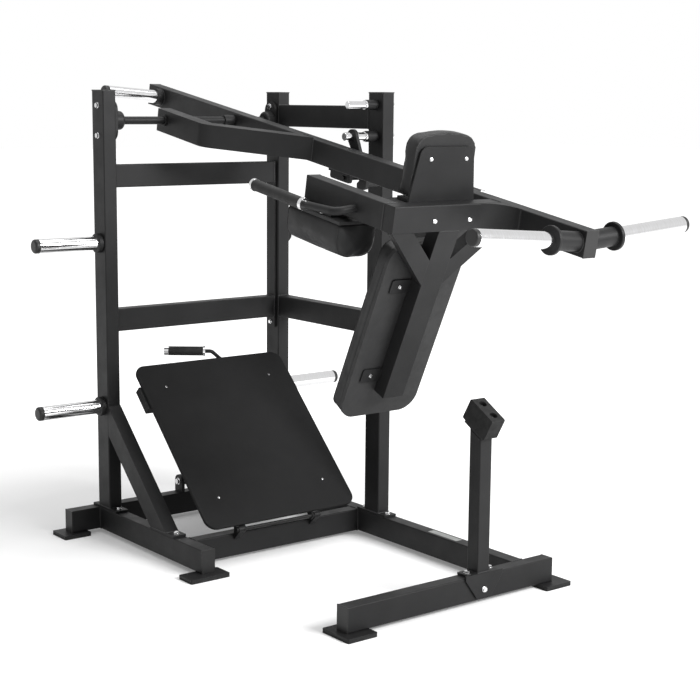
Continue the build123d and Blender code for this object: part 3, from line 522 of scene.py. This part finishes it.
def back_pad():
    """Back cushion on its board."""
    lean = radians(LEAN)
    front = Vector((0, -cos(lean), -sin(lean)))
    up = Vector((0, -sin(lean), cos(lean)))
    top = Vector((PAD_X, SPINE_TOP_Y, ARM_LOW)) - front * BOARD_BACK
    place = pad_frame(top, (-1, 0, 0), up)
    low, high = -683.0, -75.0
    outline = rounded([(-148, low), (148, low), (148, high), (-148, high)], 56)
    obj = cushion("back_pad", outline, 52.0, place, "back_cushion", 0.0, 4.0, 7.0)
    seam_on("back_seam", obj, [loop_at(outline, 45.0, place)])


SHOULDER_L, SHOULDER_HALF, SHOULDER_DEEP = 270.0, 72, 101
SHOULDER_Y1, SHOULDER_TOP, END_SEAM = -980.0, -73.4, 9.0


def shoulder_pad(name, mid):
    """Shoulder cushion hanging under its board, with a panel sewn in at each end."""
    spot = Matrix.Translation((mid, SHOULDER_Y1, SHOULDER_TOP))
    place = arm_frame() @ spot @ Matrix.Rotation(radians(90), 4, "X")
    place = place @ Matrix.Scale(1000.0, 4)
    half, low = SHOULDER_HALF, -SHOULDER_DEEP
    outline = rounded([(-half, 0), (-half, low), (half, low), (half, 0)], [4, 52, 52, 4])
    bm = prism(metres(outline), SHOULDER_L * MM)
    ends = [e for e in bm.edges if abs(e.verts[0].co.z - e.verts[1].co.z) < 1e-6]
    bmesh.ops.bevel(bm, geom=ends, offset=0.011, segments=4, profile=0.5, affect="EDGES")
    obj = stuffed(name, bm, 0.005, lambda co: co.y > -HELD_BAND, 0.005, place)
    declare_pad(obj, name.replace("_pad", "_cushion"))
    loops = [loop_at(outline, w, place) for w in (END_SEAM, SHOULDER_L - END_SEAM)]
    seam_on(name + "_seams", obj, loops)


def weld_loop(bm, matrix, corners, radius=2.3):
    """A weld bead round a closed outline of drawing points."""
    points = dense([Vector(c) for c in corners], 1.2)
    tube_mesh(bm, [matrix @ p for p in points], radius * MM, True, 6, 0.16, 0.0042)


def rect(axis, at, a0, a1, b0, b1, r=5.0):
    """A rectangle with round corners, square to an axis."""
    flat = rounded([(a0, b0), (a1, b0), (a1, b1), (a0, b1)], r, 4)
    if axis == "X":
        return [(at, p.x, p.y) for p in flat]
    if axis == "Y":
        return [(p.x, at, p.y) for p in flat]
    return [(p.x, p.y, at) for p in flat]


def circle(at, y, z, r):
    """A circle square to X."""
    return [(at, y + r * cos(2 * pi * k / 60), z + r * sin(2 * pi * k / 60)) for k in range(60)]


def finish_beads(bm, name, body):
    """Turns gathered beads into one piece on a body."""
    mesh = bpy.data.meshes.new(name)
    bmesh.ops.recalc_face_normals(bm, faces=bm.faces)
    bm.to_mesh(mesh)
    bm.free()
    new_object(name, mesh, "weld", body)


RAIL = (14, 94)
FLANGE_TOP = 102.4


def frame_welds():
    """Weld beads where the base and tower tubes meet."""
    bm = bmesh.new()
    m = shift()
    feet = ((0, -72, 8), (741, -72, 8), (741, -690, -610), (548, -1422, -1372))
    for x, y0, y1 in feet:
        weld_loop(bm, m, rect("Z", FLANGE_TOP, x, x + TUBE_W, y0, y1))
    for z in (741, 1251):
        for x in (50.4, 732.6):
            weld_loop(bm, m, rect("X", x, -57, -7, z, z + TUBE_H))
    for z in (743, 1462):
        for y in (-610.0, -72.0):
            weld_loop(bm, m, rect("Y", y, 741, 791, z, z + TUBE_H))
    for x in (50.0, 741.0):
        weld_loop(bm, m, rect("X", x, -574, -524, *RAIL))
    for y, x in ((0.0, 0), (0.0, 741), (-1372.0, 741)):
        weld_loop(bm, m, rect("Y", y, x, x + TUBE_W, *RAIL))
    weld_loop(bm, m, rect("Z", FLANGE_TOP, 0, TUBE_W, -459, -354))
    finish_beads(bm, "frame_welds", "frame")


def arm_welds():
    """Weld beads of the swing arm."""
    bm = bmesh.new()
    m = arm_frame()
    weld_loop(bm, m, rect("X", 565.0, -500, -436.4, -45, 35))
    weld_loop(bm, m, rect("X", 565.0, -1456, -1406, ARM_LOW, ARM_HIGH))
    weld_loop(bm, m, rect("Y", -1406.0, 153, 203, ARM_LOW, ARM_HIGH))
    weld_loop(bm, m, rect("Z", ARM_LOW, 336, 416, -1452, -1400))
    for x in (565.0, 615.0):
        weld_loop(bm, m, circle(x, -1776, -10, 29.4))
    weld_loop(bm, m, circle(565.0, 525, -8, 32.4))
    finish_beads(bm, "arm_welds", "swing_arm")


def label():
    """Blank sticker on the right rail."""
    m = shift()
    bm = bmesh.new()
    outline = rounded([(752, -1096), (780, -1096), (780, -950), (752, -950)], 4)
    low = [bm.verts.new(m @ Vector((p.x, p.y, 94.02))) for p in outline]
    high = [bm.verts.new(m @ Vector((p.x, p.y, 94.3))) for p in outline]
    bm.faces.new(high)
    bm.faces.new(list(reversed(low)))
    for i in range(len(low)):
        j = (i + 1) % len(low)
        bm.faces.new((low[i], low[j], high[j], high[i]))
    mesh = bpy.data.meshes.new("blank_sticker")
    bm.to_mesh(mesh)
    bm.free()
    new_object("blank_sticker", mesh, "label", "frame", False)


headrest()
back_pad()
shoulder_pad("left_shoulder_pad", 198.0)
shoulder_pad("right_shoulder_pad", 577.0)
frame_welds()
arm_welds()
label()


# ---------------------------------------------------------------- stage

def floor():
    """White studio floor, brighter away from the machine so that it has no far edge."""
    mesh = bpy.data.meshes.new("studio_floor")
    half = 40.0
    corners = [(-half, -half, 0), (half, -half, 0), (half, half, 0), (-half, half, 0)]
    mesh.from_pydata(corners, [], [(0, 1, 2, 3)])
    obj = bpy.data.objects.new("studio_floor", mesh)
    bpy.context.scene.collection.objects.link(obj)
    m, nt, bsdf = material("studio_floor")
    bsdf.inputs["Base Color"].default_value = (0.8, 0.8, 0.8, 1.0)
    bsdf.inputs["Emission Color"].default_value = WHITE
    tex = nt.nodes.new("ShaderNodeTexCoord")
    reach = nt.nodes.new("ShaderNodeVectorMath")
    reach.operation = "LENGTH"
    nt.links.new(tex.outputs["Object"], reach.inputs[0])
    glow = nt.nodes.new("ShaderNodeMapRange")
    for key, value in (("From Min", 1.2), ("From Max", 3.0), ("To Min", 0.16), ("To Max", 0.8)):
        glow.inputs[key].default_value = value
    nt.links.new(reach.outputs["Value"], glow.inputs["Value"])
    nt.links.new(glow.outputs["Result"], bsdf.inputs["Emission Strength"])
    bsdf.inputs["Roughness"].default_value = 0.85
    bsdf.inputs["Specular IOR Level"].default_value = 0.2
    mesh.materials.append(m)


def area(name, at, aim, size, power):
    """A soft rectangular light."""
    data = bpy.data.lights.new(name, "AREA")
    data.shape = "RECTANGLE"
    data.size, data.size_y = size
    data.energy = power
    obj = bpy.data.objects.new(name, data)
    obj.location = at
    obj.rotation_euler = (Vector(aim) - Vector(at)).to_track_quat("-Z", "Y").to_euler()
    bpy.context.scene.collection.objects.link(obj)


def backdrop(nt, strength):
    """A white background shader of a strength."""
    node = nt.nodes.new("ShaderNodeBackground")
    node.inputs["Color"].default_value = WHITE
    node.inputs["Strength"].default_value = strength
    return node.outputs["Background"]


def choose(nt, fac, a, b):
    """Shader a, or b where the factor is one."""
    node = nt.nodes.new("ShaderNodeMixShader")
    nt.links.new(fac, node.inputs["Fac"])
    nt.links.new(a, node.inputs[1])
    nt.links.new(b, node.inputs[2])
    return node.outputs["Shader"]


def lights():
    """White surroundings, dimmer as light than in reflections, with two soft boxes."""
    world = bpy.data.worlds.new("studio")
    bpy.context.scene.world = world
    world.use_nodes = True
    nt = world.node_tree
    rays = nt.nodes.new("ShaderNodeLightPath").outputs
    around = choose(nt, rays["Is Glossy Ray"], backdrop(nt, 0.42), backdrop(nt, 0.85))
    seen = choose(nt, rays["Is Camera Ray"], around, backdrop(nt, 1.0))
    nt.links.new(seen, nt.nodes["World Output"].inputs["Surface"])
    area("key", (1.6, -4.8, 3.2), (0.0, 0.0, 0.8), (2.4, 2.0), 430.0)
    area("top", (0.3, 0.2, 5.0), (0.0, 0.0, 0.0), (3.5, 3.5), 120.0)


CAMERA_AT = Vector((-2600.8, -4785.4, 1552.7))
CAMERA_RIGHT = Vector((0.78814, -0.61545, 0.00896))
CAMERA_UP = Vector((0.09176, 0.13187, 0.98701))
CAMERA_LENS, CAMERA_SENSOR = 78.32, 36.0


def camera():
    """Camera at the reference view."""
    data = bpy.data.cameras.new("camera")
    data.sensor_width = CAMERA_SENSOR
    data.lens = CAMERA_LENS
    obj = bpy.data.objects.new("camera", data)
    back = CAMERA_RIGHT.cross(CAMERA_UP)
    m = Matrix((CAMERA_RIGHT, CAMERA_UP, back)).transposed().to_4x4()
    m.translation = shift() @ CAMERA_AT
    obj.matrix_world = m
    bpy.context.scene.collection.objects.link(obj)
    bpy.context.scene.camera = obj


floor()
lights()
camera()
bpy.context.scene.view_settings.view_transform = "Standard"
bpy.context.view_layer.update()
